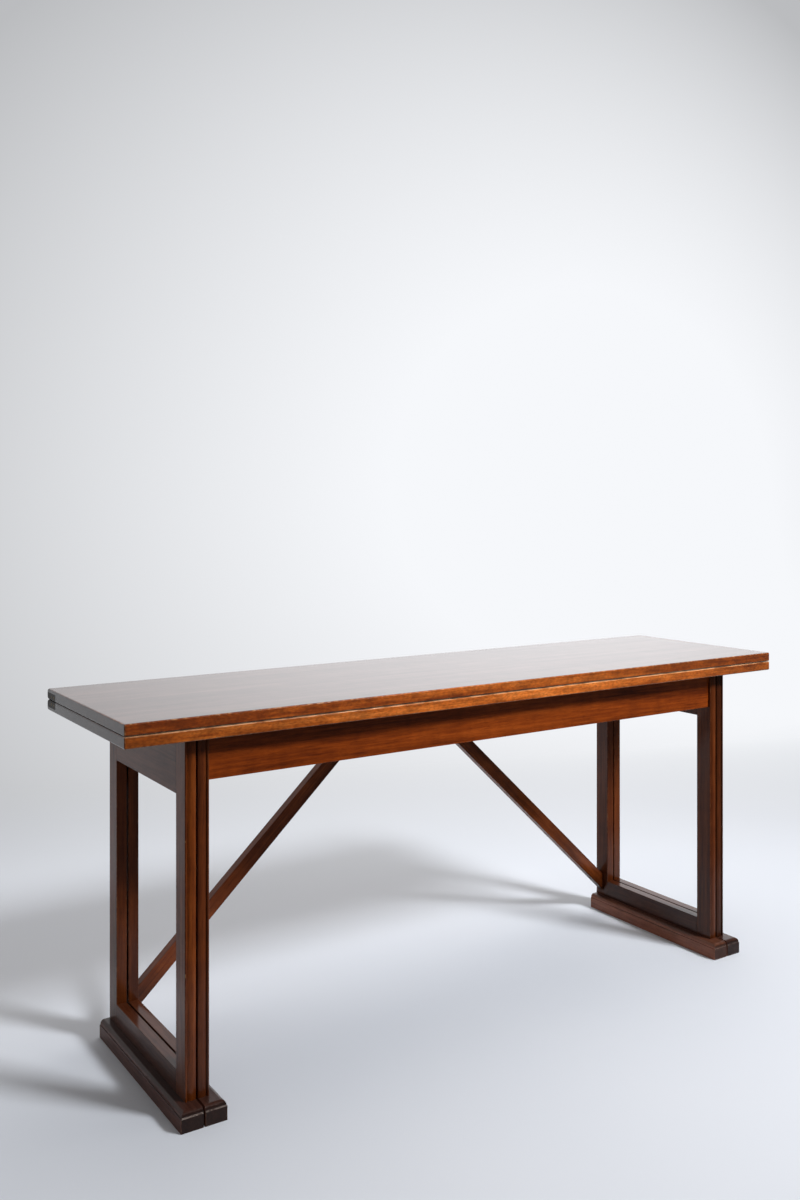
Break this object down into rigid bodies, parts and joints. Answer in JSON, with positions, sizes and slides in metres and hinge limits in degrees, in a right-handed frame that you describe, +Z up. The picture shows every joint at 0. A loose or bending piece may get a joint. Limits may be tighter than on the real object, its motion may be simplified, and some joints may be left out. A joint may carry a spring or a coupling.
{
  "type": "folding console table",
  "caption": "Long narrow table whose top folds over double; twin end frames with moulded feet open as gates to carry the turned-over leaf, with diagonal braces behind.",
  "frame": {"origin": "on the floor under the middle of the folded top", "axes": "+Z up, +X along the table to the right, -Y towards the front"},
  "size_m": [1.711, 0.463, 0.75],
  "materials": {
    "top_mahogany": "glossy french polish",
    "frame_mahogany": "satin polish",
    "foot_mahogany": "dark satin polish",
    "block_pine": "bare",
    "dark_bronze": "aged dark",
    "screw_brass": "dull"
  },
  "bodies": {
    "base": {"back_rail": "frame_mahogany", "brace_screws": "screw_brass", "fixed_gate_hinge_screws": "screw_brass", "front_apron": "frame_mahogany", "gate_hinge_pins": "dark_bronze", "left_brace": "frame_mahogany", "left_inner_back_post": "frame_mahogany", "left_inner_bottom_rail": "frame_mahogany", "left_inner_foot": "foot_mahogany", "left_inner_front_post": "frame_mahogany", "left_inner_top_rail": "frame_mahogany", "left_lower_gate_hinge_fixed_leaf": "dark_bronze", "left_lower_hinge_plate": "dark_bronze", "left_upper_gate_hinge_fixed_leaf": "dark_bronze", "lower_hinge_pins": "dark_bronze", "lower_hinge_screws": "screw_brass", "lower_leaf": "top_mahogany", "right_brace": "frame_mahogany", "right_inner_back_post": "frame_mahogany", "right_inner_bottom_rail": "frame_mahogany", "right_inner_foot": "foot_mahogany", "right_inner_front_post": "frame_mahogany", "right_inner_top_rail": "frame_mahogany", "right_lower_gate_hinge_fixed_leaf": "dark_bronze", "right_lower_hinge_plate": "dark_bronze", "right_upper_gate_hinge_fixed_leaf": "dark_bronze", "top_blocks": "block_pine", "top_screws": "screw_brass"},
    "hinge_links": {"left_hinge_link": "dark_bronze", "right_hinge_link": "dark_bronze"},
    "upper_leaf": {"left_upper_hinge_plate": "dark_bronze", "right_upper_hinge_plate": "dark_bronze", "upper_hinge_pins": "dark_bronze", "upper_hinge_screws": "screw_brass", "upper_leaf": "top_mahogany"},
    "left_gate": {"left_gate_back_post": "frame_mahogany", "left_gate_bottom_rail": "frame_mahogany", "left_gate_foot": "foot_mahogany", "left_gate_front_post": "frame_mahogany", "left_gate_screws": "screw_brass", "left_gate_top_rail": "frame_mahogany", "left_lower_gate_hinge_moving_leaf": "dark_bronze", "left_upper_gate_hinge_moving_leaf": "dark_bronze"},
    "right_gate": {"right_gate_back_post": "frame_mahogany", "right_gate_bottom_rail": "frame_mahogany", "right_gate_foot": "foot_mahogany", "right_gate_front_post": "frame_mahogany", "right_gate_screws": "screw_brass", "right_gate_top_rail": "frame_mahogany", "right_lower_gate_hinge_moving_leaf": "dark_bronze", "right_upper_gate_hinge_moving_leaf": "dark_bronze"}
  },
  "joints": [
    {"name": "hinge_links_turn", "type": "hinge", "parent": "base", "child": "hinge_links", "pos_m": [0, 0.22415, 0.72005], "axis": [-1, 0, 0], "range_deg": [0, 90]},
    {"name": "upper_leaf_turn", "type": "hinge", "parent": "hinge_links", "child": "upper_leaf", "pos_m": [0, 0.22415, 0.73555], "axis": [-1, 0, 0], "range_deg": [0, 90]},
    {"name": "left_gate_swing", "type": "hinge", "parent": "base", "child": "left_gate", "pos_m": [-0.7025, 0.225, 0], "axis": [0, 0, -1], "range_deg": [0, 180]},
    {"name": "right_gate_swing", "type": "hinge", "parent": "base", "child": "right_gate", "pos_m": [0.7025, 0.225, 0], "axis": [0, 0, 1], "range_deg": [0, 180]}
  ],
  "couplings": [
    {"joint": "hinge_links_turn", "follows": "upper_leaf_turn", "ratio": 1}
  ]
}
